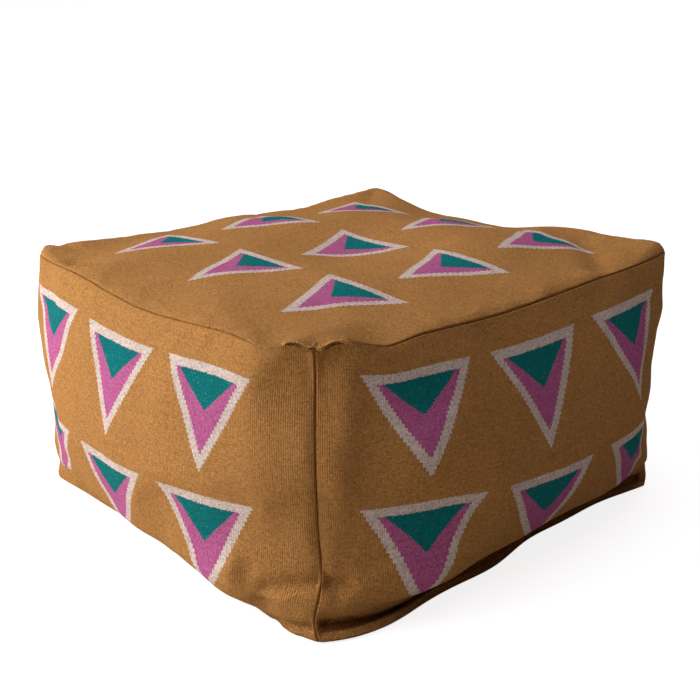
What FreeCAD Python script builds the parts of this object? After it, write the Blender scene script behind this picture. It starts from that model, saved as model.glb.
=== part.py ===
import FreeCAD, Part
import math
import os
import Sketcher

# A square floor pouf: a flat-woven cover of a top, four side panels and a two-part base with a zip,
# round a cotton liner bag of loose beads. Millimetres, +Z up, origin on the floor under the middle,
# front face to -Y, zip along X.

SIZES = {
    # Overall form
    "plan_span": 576,        # between neighbouring corner seams
    "corner_height": 328,    # floor to the corners of the top seam
    "crown_rise": 22,        # middle of the top above its corners
    "edge_droop": 12,        # middle of a top edge below its corners
    "top_bulge": 20,         # middle of a top edge beyond the line between its corners
    "belly_bulge": 72,       # widest part of a side beyond that line
    "foot_bulge": 15,        # foot of a side beyond that line
    "belly_height": 140,     # floor to the widest part
    # Cloth, seams and layers
    "cloth_wall": 2.5,
    "base_wall": 2,
    "lining_wall": 0.8,
    "seam_allowance": 10,
    "seam_gap": 0.2,
    "layer_gap": 0.4,
    "thread_width": 1,
    "thread_depth": 0.6,
    # Fold of the base cloth that keeps the zip off the floor
    "zip_recess": 8,
    "recess_margin": 42,     # past each end of the teeth
    "recess_width": 44,      # across its flat roof
    "zip_headroom": 3.5,     # from the roof to the liner over it
    # Zip
    "zip_length": 440,
    "slot_width": 12,
    "slot_margin": 8,
    "tape_width": 16,
    "tape_wall": 0.6,
    "tape_margin": 16,
    "tooth_pitch": 4,
    "tooth_width": 2,
    "tooth_reach": 2.4,
    "tooth_height": 2.4,
    "tooth_spine": 1.2,
    "teeth_slit": 2,
    "stop_length": 4,
    "stop_gap": 0.5,
    # Slider and pull
    "slider_length": 14,
    "slider_front_width": 10.4,
    "slider_back_width": 9.4,
    "slider_wall": 1,
    "slider_gap": 0.3,
    "slider_lip": 0.8,
    "lip_gap": 0.4,
    "post_width": 1.2,
    "post_length": 5,
    "bar_radius": 0.8,
    "ear_wall": 1,
    "ear_length": 3,
    "eye_radius": 2,
    "eye_width": 3.6,
    "eye_gap": 0.3,
    "bore_gap": 0.1,
    "pull_length": 30,
    "pull_width": 7,
    "pull_wall": 1.2,
    "pull_hole_radius": 1.6,
}
SIDES = {"front": 0, "right": 90, "back": 180, "left": 270}
TOOL_MARGIN = 30     # how far the solids that only trim reach past the form
TOOL_DEPTH = 20      # and below the floor

doc = FreeCAD.newDocument("Pouf")
sheet = doc.addObject("Spreadsheet::Sheet", "Sizes")
for row, (alias, number) in enumerate(SIZES.items(), start=1):
    sheet.set(f"A{row}", alias)
    sheet.set(f"B{row}", str(number))
    sheet.setAlias(f"B{row}", alias)
doc.recompute()


class Size:
    """A length with its value and the formula over the sheet's cells that gives it."""

    def __init__(self, value, formula=None):
        self.value = float(value)
        self.formula = formula or repr(float(value))

    def __add__(self, other):
        other = as_size(other)
        return Size(self.value + other.value, f"({self.formula} + {other.formula})")

    def __sub__(self, other):
        other = as_size(other)
        return Size(self.value - other.value, f"({self.formula} - {other.formula})")

    def __mul__(self, other):
        other = as_size(other)
        return Size(self.value * other.value, f"({self.formula} * {other.formula})")

    def __truediv__(self, other):
        other = as_size(other)
        return Size(self.value / other.value, f"({self.formula} / {other.formula})")

    def __neg__(self):
        return Size(-self.value, f"(-1 * {self.formula})")


def as_size(length):
    return length if isinstance(length, Size) else Size(length)


def size(alias):
    return Size(SIZES[alias], f"Sizes.{alias}")


def bind(thing, **properties):
    """Ties properties to sizes; a double underscore stands for the dot in a property's path."""
    for path, length in properties.items():
        thing.setExpression(path.replace("__", "."), as_size(length).formula)


half_span = size("plan_span") / 2
DIAGONAL = math.sqrt(2)
cloth = size("cloth_wall")
base_wall = size("base_wall")
lining = size("lining_wall")
seam_gap = size("seam_gap")
layer_gap = size("layer_gap")
allowance = size("seam_allowance")
thread_width = size("thread_width")
thread_depth = size("thread_depth")
form_reach = half_span + size("belly_bulge") + TOOL_MARGIN
inner_end = cloth + seam_gap * 3 + thread_depth + 1     # where strips inside a panel stop beside a diagonal


# Sketches

def new_sketch(body, name, role, offset):
    """An empty sketch in one of the body's origin planes, moved along the plane's normal."""
    sketch = body.newObject("Sketcher::SketchObject", name)
    plane = next(feature for feature in body.Origin.OriginFeatures if feature.Role == role)
    sketch.AttachmentSupport = [(plane, "")]
    sketch.MapMode = "FlatFace"
    bind(sketch, AttachmentOffset__Base__z=offset)
    return sketch


def dimension(sketch, kind, *where, length):
    """A driving dimension of a sketch, bound to a size."""
    number = sketch.addConstraint(Sketcher.Constraint(kind, *where, length.value))
    label = f"d{number}"
    sketch.renameConstraint(number, label)
    sketch.setExpression(f"Constraints.{label}", length.formula)


def pin(sketch, geometry, point, x, y):
    """Fixes a point of a sketch at x, y from its origin."""
    for kind, axis, length in (("DistanceX", -2, as_size(x)), ("DistanceY", -1, as_size(y))):
        if length.value == 0:
            sketch.addConstraint(Sketcher.Constraint("PointOnObject", geometry, point, axis))
        elif length.value > 0:
            dimension(sketch, kind, -1, 1, geometry, point, length=length)
        else:
            dimension(sketch, kind, geometry, point, -1, 1, length=-length)


class Line:
    """A straight edge at an angle in degrees, a distance from the sketch's origin."""

    def __init__(self, angle, distance):
        self.angle = angle
        self.distance = as_size(distance)

    def draw(self, sketch, start, end):
        edge = sketch.addGeometry(Part.LineSegment(start, end))
        turn = math.degrees(math.atan2(end.y - start.y, end.x - start.x))
        nearest = self.angle + 180 * round((turn - self.angle) / 180)
        sketch.addConstraint(Sketcher.Constraint("Angle", edge, math.radians(nearest)))
        dimension(sketch, "Distance", -1, 1, edge, length=self.distance)
        return edge, 1, 2


class Arc:
    """A round edge about a centre, always less than half a circle."""

    def __init__(self, x, y, radius):
        self.x = as_size(x)
        self.y = as_size(y)
        self.radius = radius

    def draw(self, sketch, start, end):
        centre = FreeCAD.Vector(self.x.value, self.y.value)
        first, last = (math.atan2(point.y - centre.y, point.x - centre.x) for point in (start, end))
        forward = (last - first) % (2 * math.pi) < math.pi
        low, high = (first, last) if forward else (last, first)
        circle = Part.Circle(centre, FreeCAD.Vector(0, 0, 1), self.radius.value)
        edge = sketch.addGeometry(Part.ArcOfCircle(circle, low, low + (high - low) % (2 * math.pi)))
        pin(sketch, edge, 3, self.x, self.y)
        dimension(sketch, "Radius", edge, length=self.radius)
        return (edge, 1, 2) if forward else (edge, 2, 1)


def draw_loop(sketch, edges, corners):
    """A closed outline; edge i runs from corner i to the next, and the corners need only be near."""
    points = [FreeCAD.Vector(x, y) for x, y in corners]
    drawn = [edge.draw(sketch, points[i], points[(i + 1) % len(points)]) for i, edge in enumerate(edges)]
    for (edge, _, end), (following, start, _) in zip(drawn, drawn[1:] + drawn[:1]):
        sketch.addConstraint(Sketcher.Constraint("Coincident", edge, end, following, start))


def draw_polygon(sketch, corners):
    """A closed outline of straight edges through corners given as sizes."""
    corners = [(as_size(x), as_size(y)) for x, y in corners]
    points = [FreeCAD.Vector(x.value, y.value) for x, y in corners]
    for i, (x, y) in enumerate(corners):
        sketch.addGeometry(Part.LineSegment(points[i], points[(i + 1) % len(points)]))
        pin(sketch, i, 1, x, y)
    for i in range(len(corners)):
        sketch.addConstraint(Sketcher.Constraint("Coincident", i, 2, (i + 1) % len(corners), 1))


def rectangle(low_x, high_x, low_y, high_y):
    return [(low_x, low_y), (high_x, low_y), (high_x, high_y), (low_x, high_y)]


# Solids and booleans

def loft(name, stations, role, draw, turn=0):
    """A body lofted through one outline per station, turned about the vertical."""
    body = doc.addObject("PartDesign::Body", name)
    sketches = []
    for number, (offset, station) in enumerate(stations):
        sketch = new_sketch(body, f"{name}_section_{number}", role, offset)
        draw(sketch, station)
        sketches.append(sketch)
    feature = body.newObject("PartDesign::AdditiveLoft", f"{name}_loft")
    feature.Profile = sketches[0]
    feature.Sections = sketches[1:]
    body.Placement = FreeCAD.Placement(FreeCAD.Vector(), FreeCAD.Rotation(FreeCAD.Vector(0, 0, 1), turn))
    return body


def pad(body, name, role, offset, height, draw, midplane=False):
    sketch = new_sketch(body, f"{name}_outline", role, offset)
    draw(sketch)
    feature = body.newObject("PartDesign::Pad", name)
    feature.Profile = sketch
    feature.SideType = "Symmetric" if midplane else "One side"
    bind(feature, Length=height)
    return feature


def box(name, x, y, z):
    """A block between pairs of sizes."""
    block = doc.addObject("Part::Box", name)
    low = [as_size(pair[0]) for pair in (x, y, z)]
    high = [as_size(pair[1]) for pair in (x, y, z)]
    bind(block, Length=high[0] - low[0], Width=high[1] - low[1], Height=high[2] - low[2])
    bind(block, Placement__Base__x=low[0], Placement__Base__y=low[1], Placement__Base__z=low[2])
    return block


def common(name, *shapes):
    result = doc.addObject("Part::MultiCommon", name)
    result.Shapes = list(shapes)
    return result


def fuse(name, *shapes):
    result = doc.addObject("Part::MultiFuse", name)
    result.Shapes = list(shapes)
    return result


def cut(name, base, tool):
    result = doc.addObject("Part::Cut", name)
    result.Base = base
    result.Tool = tool
    return result


def group(name, shapes):
    result = doc.addObject("Part::Compound", name)
    result.Links = list(shapes)
    return result


# The form: side outlines at seven heights, and the crowned top

class Level:
    """The side outline at one height: each side an arc over the line between its corner seams."""

    def __init__(self, height, bulge):
        self.height = height
        self.bulge = bulge
        self.radius = (half_span * half_span + bulge * bulge) / (bulge * 2)
        self.centre = self.radius - half_span - bulge


def side_levels():
    belly, foot, top = size("belly_bulge"), size("foot_bulge"), size("top_bulge")
    waist, rim = size("belly_height"), size("corner_height")
    levels = [Level(waist * (1 - share), belly - (belly - foot) * share ** 2) for share in (1, 0.5, 0)]
    for share in (0.4, 0.75, 1):
        levels.append(Level(waist + (rim - waist) * share, belly - (belly - top) * share ** 2))
    levels.append(Level(rim + size("crown_rise") + cloth * 2, top / 2))
    return [(level.height, level) for level in levels]


LEVELS = side_levels()


def meet_end(level, offset, distance):
    """Where a front arc set in by offset meets the line beside the right corner's diagonal."""
    radius = level.radius.value - as_size(offset).value
    reach = as_size(distance).value * DIAGONAL + level.centre.value
    x = (math.sqrt(2 * radius ** 2 - reach ** 2) - reach) / 2
    return x, -as_size(distance).value * DIAGONAL - x


def mirrored(points):
    return [(-x, y) for x, y in reversed(points)]


def side_centres(level):
    """Centres of the front, right, back and left arcs."""
    return [(0, level.centre), (-level.centre, 0), (0, -level.centre), (level.centre, 0)]


def draw_outline(sketch, level):
    """The whole outline, its four corners sharp at the seams."""
    corner = half_span.value
    edges = [Arc(*centre, level.radius) for centre in side_centres(level)]
    draw_loop(sketch, edges, [(-corner, -corner), (corner, -corner), (corner, corner), (-corner, corner)])


def draw_liner(offset, corner_cut):
    """The outline set in by offset, with each corner cut off square to its diagonal."""
    def draw(sketch, level):
        radius = level.radius - offset
        reach = half_span * DIAGONAL - corner_cut
        across = reach.value * DIAGONAL + level.centre.value
        x = (across - math.sqrt(2 * radius.value ** 2 - across ** 2)) / 2
        y = x - reach.value * DIAGONAL
        edges = []
        for turn, centre in enumerate(side_centres(level)):
            edges += [Arc(*centre, radius), Line(45 + 90 * turn, reach)]
        draw_loop(sketch, edges, [(-x, y), (x, y), (-y, -x), (-y, x), (x, -y), (-x, -y), (y, x), (y, -x)])
    return draw


def draw_panel(sketch, level):
    """A side panel: its cloth between two arcs, with the seam allowance turned in along both diagonals.

    It runs past the diagonals a little, and is trimmed flat there.
    """
    outer, inner = Arc(0, level.centre, level.radius), Arc(0, level.centre, level.radius - cloth)
    past, fold = cloth / 2, seam_gap / 2 + cloth
    tip = half_span * DIAGONAL - cloth - allowance
    tip_x, tip_y = tip.value / DIAGONAL, -tip.value / DIAGONAL
    beyond, step = past.value / DIAGONAL, fold.value / DIAGONAL
    right = [meet_end(level, 0, -past), (tip_x + beyond, tip_y + beyond), (tip_x - step, tip_y - step),
             meet_end(level, cloth, fold)]
    edges = [outer, Line(135, past), Line(45, tip), Line(135, fold),
             inner, Line(45, fold), Line(135, tip), Line(45, past)]
    draw_loop(sketch, edges, [mirrored(right)[-1]] + right + mirrored(right)[:-1])


def draw_strip(near, far, end):
    """A strip along a side, between two offsets from the outside, ending beside both diagonals."""
    def draw(sketch, level):
        right = [meet_end(level, near, end), meet_end(level, far, end)]
        edges = [Arc(0, level.centre, level.radius - near), Line(135, end),
                 Arc(0, level.centre, level.radius - far), Line(45, end)]
        draw_loop(sketch, edges, [mirrored(right)[-1]] + right + mirrored(right)[:-1])
    return draw


def draw_corner_thread(near, far, low, high, mirror):
    """A thread on the turned-in cloth beside one corner's diagonal."""
    def draw(sketch, level):
        corners = [meet_end(level, near, high), meet_end(level, near, low),
                   meet_end(level, far, low), meet_end(level, far, high)]
        angle = 45 if mirror else 135
        if mirror:
            corners = [(-x, y) for x, y in corners]
        edges = [Arc(0, level.centre, level.radius - near), Line(angle, low),
                 Arc(0, level.centre, level.radius - far), Line(angle, high)]
        draw_loop(sketch, edges, corners)
    return draw


def crown(name, drop):
    """Everything below the crowned top, lowered by drop: domed in the middle, raised at the corners."""
    rise, droop, reach = size("crown_rise"), size("edge_droop"), form_reach
    edge = half_span + size("top_bulge")
    dome = rise + droop
    corner_share = half_span * half_span / (edge * edge)
    saddle = (dome * corner_share * 2 - rise) / (corner_share * corner_share)
    reach_share = reach * reach / (edge * edge)
    top = size("corner_height") + rise - drop

    def draw(sketch, station):
        middle = top - dome * reach_share * station
        end = middle + (saddle * reach_share * station - dome) * reach_share
        sag = middle - end if station == 0 else end - middle
        radius = (reach * reach + sag * sag) / (sag * 2)
        centre = middle - radius if station == 0 else middle + radius
        x, low, high = reach.value, -TOOL_DEPTH, end.value
        edges = [Line(0, TOOL_DEPTH), Line(90, reach), Arc(0, centre, radius), Line(90, reach)]
        draw_loop(sketch, edges, [(-x, low), (x, low), (x, high), (-x, high)])

    return loft(name, [(-reach, 1), (Size(0), 0), (reach, 1)], "XZ_Plane", draw)


def ground(name, rise, headroom=0):
    """Everything below the base, raised by rise, with the fold over the zip standing up out of it."""
    slab = box(f"{name}_slab", (-form_reach, form_reach), (-form_reach, form_reach), (-TOOL_DEPTH, rise))
    roof = size("zip_recess") + rise + headroom
    foot = roof + TOOL_DEPTH / 2
    half_width = size("recess_width") / 2 + rise * (DIAGONAL - 1)
    half_length = size("zip_length") / 2 + size("recess_margin") + rise * (DIAGONAL - 1)
    fold = doc.addObject("Part::Wedge", f"{name}_fold")
    fold.Placement = FreeCAD.Placement(FreeCAD.Vector(), FreeCAD.Rotation(FreeCAD.Vector(1, 0, 0), 90))
    bind(fold, Ymin=-TOOL_DEPTH / 2, Ymax=roof)
    bind(fold, Xmin=-(half_length + foot), Xmax=half_length + foot, X2min=-half_length, X2max=half_length)
    bind(fold, Zmin=-(half_width + foot), Zmax=half_width + foot, Z2min=-half_width, Z2max=half_width)
    return fuse(name, slab, fold)


# Cover

def turned_in_strips(name):
    """The strips of cloth that lie inside each side panel, one per side, from floor to top."""
    near = cloth + seam_gap
    draw = draw_strip(near, near + cloth, inner_end)
    return [loft(f"{name}_{side}", LEVELS, "XY_Plane", draw, turn) for side, turn in SIDES.items()]


def seam_threads(name):
    """The strips that the top and base stitching is cut from, inside the turned-in cloth."""
    near = (cloth + seam_gap) * 2
    draw = draw_strip(near, near + thread_depth, inner_end)
    return [loft(f"{name}_{side}", LEVELS, "XY_Plane", draw, turn) for side, turn in SIDES.items()]


def top_panel(outline, strips):
    under = crown("top_underside", cloth)
    sheet_part = common("top_sheet", outline, cut("top_slab", crown("top_outside", Size(0)), under))
    band = cut("top_turned_band", crown("top_middle", cloth / 2), crown("top_turned_end", cloth + allowance))
    tabs = [common(f"top_tab_{number}", strip, band) for number, strip in enumerate(strips)]
    return fuse("top_panel", sheet_part, *tabs)


def top_thread(threads):
    near = cloth + thread_width
    above, below = crown("top_thread_above", near), crown("top_thread_below", near + thread_width)
    band = cut("top_thread_band", above, below)
    stitches = [common(f"top_stitch_{number}", strip, band) for number, strip in enumerate(threads)]
    return group("top_seam_thread", stitches)


def quarter(name, turn):
    """The quarter of the pouf between two diagonals, short of them by half the seam gap."""
    reach = half_span * 2
    apex = -(seam_gap / 2 * DIAGONAL)
    body = doc.addObject("PartDesign::Body", name)
    pad(body, f"{name}_block", "XY_Plane", Size(0), size("corner_height") * 2,
        lambda sketch: draw_polygon(sketch, [(0, apex), (-reach, apex - reach), (reach, apex - reach)]))
    body.Placement = FreeCAD.Placement(FreeCAD.Vector(), FreeCAD.Rotation(FreeCAD.Vector(0, 0, 1), turn))
    return body


def side_panels(below, floor):
    panels = []
    for side, turn in SIDES.items():
        strip = loft(f"{side}_strip", LEVELS, "XY_Plane", draw_panel, turn)
        trimmed = common(f"{side}_trimmed", strip, quarter(f"{side}_quarter", turn), below)
        panels.append(cut(f"{side}_panel", trimmed, floor))
    return panels


def corner_threads(below, floor):
    near = cloth + thread_width
    low = seam_gap * 1.5 + cloth
    stitches = []
    for side, turn in SIDES.items():
        for mirror in (False, True):
            draw = draw_corner_thread(near, near + thread_width, low, low + thread_depth, mirror)
            name = f"{side}_stitch_{int(mirror)}"
            strip = loft(f"{name}_strip", LEVELS, "XY_Plane", draw, turn)
            stitches.append(cut(name, common(f"{name}_under_top", strip, below), floor))
    return group("corner_seam_thread", stitches)


def base_panels(outline, strips):
    across = (-form_reach, form_reach)
    slab = cut("base_slab", ground("base_inside", base_wall), ground("base_outside", Size(0)))
    sheet_part = common("base_sheet", outline, slab)
    band = box("base_turned_band", across, across, (base_wall / 2, base_wall + allowance))
    tabs = [common(f"base_tab_{number}", strip, band) for number, strip in enumerate(strips)]
    whole = fuse("base_whole", sheet_part, *tabs)
    slot_x = size("zip_length") / 2 + size("slot_margin")
    slot_y = size("slot_width") / 2
    slot = box("base_slot", (-slot_x, slot_x), (-slot_y, slot_y), (0, size("zip_recess") + base_wall * 2))
    slotted = cut("base_slotted", whole, slot)
    halves = []
    for half, side in (("front", -1), ("back", 1)):
        depth = mirrored_pair(seam_gap / 2, form_reach, side)
        block = box(f"base_{half}_half", across, depth, (-TOOL_DEPTH, size("corner_height")))
        halves.append(common(f"base_panel_{half}", slotted, block))
    return halves


def base_thread(threads):
    near = base_wall + thread_width
    across = (-form_reach, form_reach)
    band = box("base_thread_band", across, across, (near, near + thread_width))
    stitches = [common(f"base_stitch_{number}", strip, band) for number, strip in enumerate(threads)]
    return group("base_seam_thread", stitches)


# Liner bag and its fill

def liner_and_fill():
    offset = (cloth + seam_gap) * 2 + thread_depth + layer_gap
    corner = cloth + allowance + layer_gap
    outside = loft("liner_outside", LEVELS, "XY_Plane", draw_liner(offset, corner))
    inside = loft("liner_inside", LEVELS, "XY_Plane", draw_liner(offset + lining, corner + lining))
    fill_offset = lining + layer_gap
    filled = loft("fill_outside", LEVELS, "XY_Plane", draw_liner(offset + fill_offset, corner + fill_offset))
    drop, rise, headroom = cloth + layer_gap, base_wall + layer_gap, size("zip_headroom")
    top_slab = cut("liner_top_slab", crown("liner_over", drop), crown("liner_under", drop + lining))
    base_slab = cut("liner_base_slab", ground("liner_base_inside", rise + lining, headroom),
                    ground("liner_base_outside", rise, headroom))
    band = cut("liner_ring", outside, inside)
    band = common("liner_ring_under_top", band, crown("liner_band_top", drop + lining + seam_gap))
    fill = common("fill_under_top", filled, crown("fill_top", drop + fill_offset))
    return [common("liner_top", outside, top_slab), common("liner_base", outside, base_slab),
            cut("liner_band", band, ground("liner_band_foot", rise + lining + seam_gap, headroom)),
            cut("bead_fill", fill, ground("fill_foot", rise + fill_offset, headroom))]


# Zip

tape_low = size("zip_recess") + base_wall + seam_gap
tape_top = tape_low + size("tape_wall")
zip_plane = tape_low + size("tape_wall") / 2
zip_end = size("zip_length") / 2
row_inside = size("teeth_slit") / 2
row_outside = row_inside + size("tooth_reach")


def mirrored_pair(near, far, side):
    """Two distances from the zip's middle line, on its back (1) or front (-1)."""
    return (near, far) if side > 0 else (-far, -near)


def zip_tape(name, side):
    reach = zip_end + size("tape_margin")
    across = mirrored_pair(row_outside, row_outside + size("tape_width"), side)
    return box(name, (-reach, reach), across, (tape_low, tape_top))


def zip_teeth(name, side):
    """A row of teeth on a spine along the tape's edge; the two rows are half a pitch apart."""
    body = doc.addObject("PartDesign::Body", name)
    pitch, height = size("tooth_pitch"), size("tooth_height")
    spine = mirrored_pair(row_outside - size("tooth_spine"), row_outside, side)
    pad(body, f"{name}_spine", "XY_Plane", zip_plane - height / 4, height / 2,
        lambda sketch: draw_polygon(sketch, rectangle(-zip_end, zip_end, *spine)))
    shift = pitch / 4 * side
    first = -zip_end + pitch / 2 + shift - size("tooth_width") / 2
    across = mirrored_pair(row_inside, row_outside, side)
    tooth = pad(body, f"{name}_tooth", "XY_Plane", zip_plane - height / 2, height,
                lambda sketch: draw_polygon(sketch, rectangle(first, first + size("tooth_width"), *across)))
    pattern = body.newObject("PartDesign::LinearPattern", f"{name}_row")
    pattern.Originals = [tooth]
    pattern.Direction = (tooth.Profile[0], ["H_Axis"])
    pattern.Mode = "Spacing"
    pattern.setExpression("Occurrences", "floor(Sizes.zip_length / Sizes.tooth_pitch)")
    bind(pattern, Offset=pitch)
    body.Tip = pattern
    return body


def zip_stops():
    height = (zip_plane - size("tooth_height") / 2, zip_plane + size("tooth_height") / 2)
    near, far = zip_end + size("stop_gap"), zip_end + size("stop_gap") + size("stop_length")
    tops = [box(f"zip_top_stop_{side + 1}", (near, far), mirrored_pair(row_inside, row_outside, side), height)
            for side in (-1, 1)]
    bottom = box("zip_bottom_stop", (-far, -near), (-row_outside, row_outside), height)
    return [group("zip_top_stops", tops), bottom]


def zip_stitching():
    """Two lines of stitching over the tapes and two under the base cloth."""
    middle = (row_outside + size("tape_width") + size("slot_width") / 2) / 2
    lines = []
    heights = {"over": tape_top + seam_gap, "under": size("zip_recess") - seam_gap - thread_depth}
    for side in (-1, 1):
        across = mirrored_pair(middle - thread_width / 2, middle + thread_width / 2, side)
        for level, low in heights.items():
            name = f"zip_stitch_{level}_{side + 1}"
            lines.append(box(name, (-zip_end, zip_end), across, (low, low + thread_depth)))
    return group("zip_stitching", lines)


slider_x = zip_end - size("slider_length") / 2 - size("stop_gap")
plate_gap = size("tooth_height") / 2 + size("slider_gap")
plate_low = zip_plane - plate_gap
slider_low = plate_low - size("slider_wall")
pivot_z = slider_low - size("eye_radius") - size("eye_gap")


def zip_slider():
    """Two plates round the teeth, joined by a post between the rows, with the pull's bar below."""
    body = doc.addObject("PartDesign::Body", "zip_slider")
    wall, half = size("slider_wall"), size("slider_length") / 2
    front, back = size("slider_front_width") / 2, size("slider_back_width") / 2
    nose, tail = slider_x + half, slider_x - half

    def draw_plate(sketch):
        flare, shoulder, tip = slider_x - half / 3, slider_x + half / 3, front * 0.8
        draw_polygon(sketch, [(tail, -back), (flare, -back), (shoulder, -front), (nose, -tip),
                              (nose, tip), (shoulder, front), (flare, back), (tail, back)])

    def draw_post(sketch):
        width = size("post_width") / 2
        draw_polygon(sketch, rectangle(nose - size("post_length"), nose - size("stop_gap"), -width, width))

    def draw_lip(side):
        outer = back - size("slider_gap") / 2
        across = mirrored_pair(outer - size("slider_lip"), outer, side)
        return lambda sketch: draw_polygon(sketch, rectangle(tail, nose - half, *across))

    pad(body, "slider_outer_plate", "XY_Plane", slider_low, wall, draw_plate)
    pad(body, "slider_post", "XY_Plane", plate_low - wall / 2, plate_gap * 2 + wall, draw_post)
    pad(body, "slider_inner_plate", "XY_Plane", zip_plane + plate_gap, wall, draw_plate)
    lip = plate_gap - size("tape_wall") / 2 - size("lip_gap")
    for plate, low in (("outer", plate_low - wall / 2), ("inner", zip_plane + plate_gap - lip)):
        for side in (-1, 1):
            pad(body, f"slider_{plate}_lip_{side + 1}", "XY_Plane", low, lip + wall / 2, draw_lip(side))
    ear_inside = size("eye_width") / 2 + size("eye_gap")
    ear_half = size("ear_length") / 2
    for side in (-1, 1):
        across = mirrored_pair(ear_inside, ear_inside + size("ear_wall"), side)
        low = pivot_z - ear_half
        pad(body, f"slider_ear_{side + 1}", "XY_Plane", low, slider_low + wall / 2 - low,
            lambda sketch: draw_polygon(sketch, rectangle(slider_x - ear_half, slider_x + ear_half, *across)))
    pad(body, "slider_bar", "XZ_Plane", Size(0), (ear_inside + size("ear_wall") / 2) * 2,
        lambda sketch: draw_circle(sketch, slider_x, pivot_z, size("bar_radius")), midplane=True)
    return body


def draw_circle(sketch, x, y, radius):
    centre = FreeCAD.Vector(x.value, y.value)
    circle = sketch.addGeometry(Part.Circle(centre, FreeCAD.Vector(0, 0, 1), radius.value))
    pin(sketch, circle, 3, x, y)
    dimension(sketch, "Radius", circle, length=radius)


def zip_pull():
    """A flat tab whose eye turns on the slider's bar, lying back along the zip."""
    body = doc.addObject("PartDesign::Body", "zip_pull")
    wall, half = size("pull_wall"), size("pull_width") / 2
    neck = size("eye_width") / 2
    end = slider_x - size("pull_length")
    shoulder = slider_x - size("slider_length") / 2
    taper = half / 2
    pad(body, "pull_eye", "XZ_Plane", Size(0), size("eye_width"),
        lambda sketch: draw_circle(sketch, slider_x, pivot_z, size("eye_radius")), midplane=True)

    def draw_tab(sketch):
        below = [(end, -half + taper), (end + taper, -half), (shoulder - taper, -half),
                 (shoulder, -neck), (slider_x, -neck)]
        draw_polygon(sketch, below + [(x, -y) for x, y in reversed(below)])

    pad(body, "pull_tab", "XY_Plane", pivot_z - wall / 2, wall, draw_tab)
    bore = size("bar_radius") + size("bore_gap")
    drill(body, "pull_bore", "XZ_Plane", slider_x, pivot_z, bore)
    drill(body, "pull_hole", "XY_Plane", end + half + taper, Size(0), size("pull_hole_radius"))
    return body


def drill(body, name, role, x, y, radius):
    sketch = new_sketch(body, f"{name}_outline", role, Size(0))
    draw_circle(sketch, x, y, radius)
    feature = body.newObject("PartDesign::Pocket", name)
    feature.Profile = sketch
    feature.Type = "ThroughAll"
    feature.SideType = "Symmetric"


def build():
    outline = loft("cover_outline", LEVELS, "XY_Plane", draw_outline)
    strips = turned_in_strips("turned_in")
    threads = seam_threads("seam_thread")
    below = crown("side_top", cloth + seam_gap)
    floor = ground("side_foot", base_wall + seam_gap)
    nodes = [top_panel(outline, strips), top_thread(threads)]
    nodes += side_panels(below, floor)
    nodes.append(corner_threads(below, floor))
    nodes += base_panels(outline, strips)
    nodes.append(base_thread(threads))
    nodes += liner_and_fill()
    nodes += [zip_tape("zip_tape_front", -1), zip_tape("zip_tape_back", 1)]
    nodes += [zip_teeth("zip_teeth_front", -1), zip_teeth("zip_teeth_back", 1)]
    nodes += zip_stops()
    nodes += [zip_stitching(), zip_slider(), zip_pull()]
    return nodes


def check(nodes):
    """Stops on any failed object, and on any sub-part without a valid solid."""
    failed = [thing.Name for thing in doc.Objects if {"Invalid", "Error"} & set(thing.State)]
    if failed:
        raise RuntimeError(f"failed objects: {failed}")
    for node in nodes:
        if node.Shape.isNull() or not node.Shape.isValid() or not node.Shape.Solids:
            raise RuntimeError(f"no valid solid: {node.Label}")


sub_parts = build()
doc.recompute()
check(sub_parts)
os.makedirs("parts", exist_ok=True)
for sub_part in sub_parts:
    sub_part.Shape.exportStep(f"parts/{sub_part.Label}.step")
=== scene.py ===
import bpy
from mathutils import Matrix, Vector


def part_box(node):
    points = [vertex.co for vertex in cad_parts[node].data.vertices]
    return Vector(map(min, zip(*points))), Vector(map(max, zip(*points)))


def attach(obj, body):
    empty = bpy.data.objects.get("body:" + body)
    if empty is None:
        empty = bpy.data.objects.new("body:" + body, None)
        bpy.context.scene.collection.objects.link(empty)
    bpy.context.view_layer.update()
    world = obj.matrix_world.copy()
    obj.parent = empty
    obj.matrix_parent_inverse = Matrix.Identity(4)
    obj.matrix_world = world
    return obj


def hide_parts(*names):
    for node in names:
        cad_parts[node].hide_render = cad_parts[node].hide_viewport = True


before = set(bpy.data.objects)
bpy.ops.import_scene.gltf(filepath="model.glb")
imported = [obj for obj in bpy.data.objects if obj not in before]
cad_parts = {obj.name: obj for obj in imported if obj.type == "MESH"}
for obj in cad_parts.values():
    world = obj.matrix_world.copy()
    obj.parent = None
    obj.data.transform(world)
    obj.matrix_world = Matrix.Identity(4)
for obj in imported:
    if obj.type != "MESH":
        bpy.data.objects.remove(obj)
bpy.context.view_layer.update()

import math

import bpy
import numpy as np
from mathutils import Matrix, Vector

# A square floor pouf in flat-woven cloth. Lengths are millimetres until a mesh is made from them.
# The front face looks to -Y and the left face to -X. Each panel has cloth coordinates: s runs from its
# left end as seen from outside, t runs up from its foot, and on the top they run along X and Y.

CUT_SPAN, CUT_RISE = 600.0, 350.0  # panels between their seams, laid flat
MIDDLE = CUT_SPAN / 2
ALLOWANCE = 9.0  # cloth turned in at each seam
CLOTH, BASE_CLOTH, LINING = 2.5, 2.0, 0.8
CELLS_ACROSS, CELLS_UP = 60, 34  # grid of the form, about 10 mm
FINE = 5.0  # grid of the finished panels
GRID_STEP = 10.0  # cloth map of the lining
SIDES = ("front", "right", "back", "left")

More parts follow.
